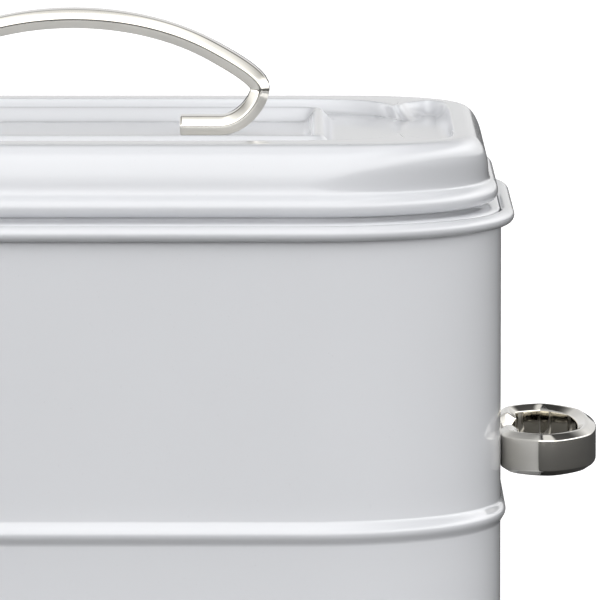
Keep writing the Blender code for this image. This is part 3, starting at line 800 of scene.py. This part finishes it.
# ---- stage -----------------------------------------------------------------------------------------
def add_floor(stage):
    """A wide disc of pale paper. The lens sees it bright, and other rays see it dark, so that it hardly
    lights the bin from below."""
    angle = np.linspace(0, 2 * np.pi, 96, endpoint=False)
    ring = np.stack([np.cos(angle), np.sin(angle), np.zeros_like(angle)], -1)
    radii = np.array([0.2, 0.5, 1.5, 6.0, 40.0])[:, None, None]
    mesh = ring_mesh("floor", ring[None] * radii, close_first=True, flip=True)
    material, tree, shader, bump = new_material("floor_paper")
    vector = object_vector(tree)
    tone = noise(tree, vector, 6.0, 3.0)
    paper = tuple(stage.floor)
    pale = blended(tree, tone, tinted(paper, 0.99), paper)
    seen = tree.nodes.new("ShaderNodeLightPath").outputs["Is Camera Ray"]
    tree.links.new(blended(tree, seen, (0.012, 0.012, 0.012), pale), shader.inputs["Base Color"])
    shader.inputs["Emission Color"].default_value = (1.0, 1.0, 1.0, 1.0)
    tree.links.new(calc(tree, "MULTIPLY", seen, 0.45), shader.inputs["Emission Strength"])
    shader.inputs["Roughness"].default_value = 0.8
    bump.inputs["Strength"].default_value = 0.05
    bump.inputs["Distance"].default_value = 0.0002
    tree.links.new(noise(tree, vector, 900.0, 2.0), bump.inputs["Height"])
    mesh.materials.append(material)
    floor = bpy.data.objects.new("floor", mesh)
    bpy.context.scene.collection.objects.link(floor)


# The room's brightness by height, from the horizon up, and by side: front, right, back and left.
ROOM = (
    (1.75, 1.40, 0.80, 3.60),
    (2.50, 3.00, 0.70, 1.00),
    (2.35, 0.15, 0.05, 0.05),
    (0.90, 0.90, 0.90, 0.90),
)
# Where one height gives way to the next, as the upward part of the direction.
ROOM_STEPS = ((0.03, 0.22), (0.30, 0.60), (0.86, 0.93))


def side_level(tree, sides, levels):
    """The sum of levels, each times the square of the direction's level part towards its side."""
    total = 0.0
    for side, level in zip(sides, levels):
        total = calc(tree, "ADD", calc(tree, "MULTIPLY", side, level), total)
    return total


def add_studio(stage):
    """The room's light by direction, from the ROOM table: brightest low down at the two sides, bright in
    front, and dimmer overhead and behind. The lens sees a plain pale background."""
    world = bpy.data.worlds.new("studio")
    bpy.context.scene.world = world
    world.use_nodes = True
    tree = world.node_tree
    background = tree.nodes["Background"]
    split = tree.nodes.new("ShaderNodeSeparateXYZ")
    tree.links.new(tree.nodes.new("ShaderNodeTexCoord").outputs["Object"], split.inputs[0])
    x, y, z = split.outputs
    level = calc(tree, "ADD", calc(tree, "MULTIPLY", x, x), calc(tree, "MULTIPLY", y, y))
    length = calc(tree, "MAXIMUM", calc(tree, "SQRT", level, 0.0), 0.0001)
    sides = []
    for part, sign in ((y, -1.0), (x, 1.0), (y, 1.0), (x, -1.0)):
        share = calc(tree, "DIVIDE", calc(tree, "MULTIPLY", part, sign), length)
        towards = calc(tree, "MAXIMUM", share, 0.0)
        sides.append(calc(tree, "MULTIPLY", towards, towards))
    lit = side_level(tree, sides, ROOM[0])
    for (low, high), levels in zip(ROOM_STEPS, ROOM[1:]):
        share = ranged(tree, z, low, high, 0.0, 1.0, "SMOOTHSTEP")
        kept = calc(tree, "MULTIPLY", lit, calc(tree, "SUBTRACT", 1.0, share))
        lit = calc(tree, "ADD", kept, calc(tree, "MULTIPLY", side_level(tree, sides, levels), share))
    seen = tree.nodes.new("ShaderNodeLightPath").outputs["Is Camera Ray"]
    strength = blended(tree, seen, calc(tree, "MULTIPLY", lit, stage.sky), 1.0)
    tree.links.new(strength, background.inputs["Strength"])
    background.inputs["Color"].default_value = (1.0, 1.0, 1.0, 1.0)


def add_camera(stage):
    """A long lens from a little above the bin, aimed to the right of its middle."""
    data = bpy.data.cameras.new("camera")
    data.lens = stage.lens
    data.clip_end = 200
    camera = bpy.data.objects.new("camera", data)
    bpy.context.scene.collection.objects.link(camera)
    tilt, swing = math.radians(stage.elevation), math.radians(stage.azimuth)
    towards = Vector((math.sin(swing) * math.cos(tilt), -math.cos(swing) * math.cos(tilt), math.sin(tilt)))
    camera.location = Vector(stage.aim) + towards * stage.distance
    camera.rotation_euler = (-towards).to_track_quat("-Z", "Y").to_euler()
    bpy.context.scene.camera = camera
    bpy.context.scene.view_settings.view_transform = "Standard"


# ---- panel and registration ------------------------------------------------------------------------
OPERATORS = (
    BREADBIN_OT_tub, BREADBIN_OT_lid, BREADBIN_OT_handles, BREADBIN_OT_fastenings, BREADBIN_OT_stage)


class BREADBIN_PT_panel(bpy.types.Panel):
    """The bin's steps and settings"""
    bl_label = "Bread bin"
    bl_idname = "BREADBIN_PT_panel"
    bl_space_type = "VIEW_3D"
    bl_region_type = "UI"
    bl_category = "Bread bin"

    def draw(self, context):
        for operator in OPERATORS:
            self.layout.operator(operator.bl_idname)
        for name, group in SETTINGS.items():
            box = self.layout.box()
            box.label(text=group.__doc__)
            for prop in group.__annotations__:
                box.prop(getattr(context.scene, name), prop)


def register():
    for group in (*SETTINGS.values(), *OPERATORS, BREADBIN_PT_panel):
        bpy.utils.register_class(group)
    for name, group in SETTINGS.items():
        setattr(bpy.types.Scene, name, bpy.props.PointerProperty(type=group))


def unregister():
    for name in SETTINGS:
        delattr(bpy.types.Scene, name)
    for group in (BREADBIN_PT_panel, *reversed(OPERATORS), *reversed(SETTINGS.values())):
        bpy.utils.unregister_class(group)


def main():
    register()
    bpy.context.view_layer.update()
    bpy.ops.breadbin.tub()
    bpy.ops.breadbin.lid()
    bpy.ops.breadbin.handles()
    bpy.ops.breadbin.fastenings()
    bpy.ops.breadbin.stage()


if __name__ == "__main__":
    main()
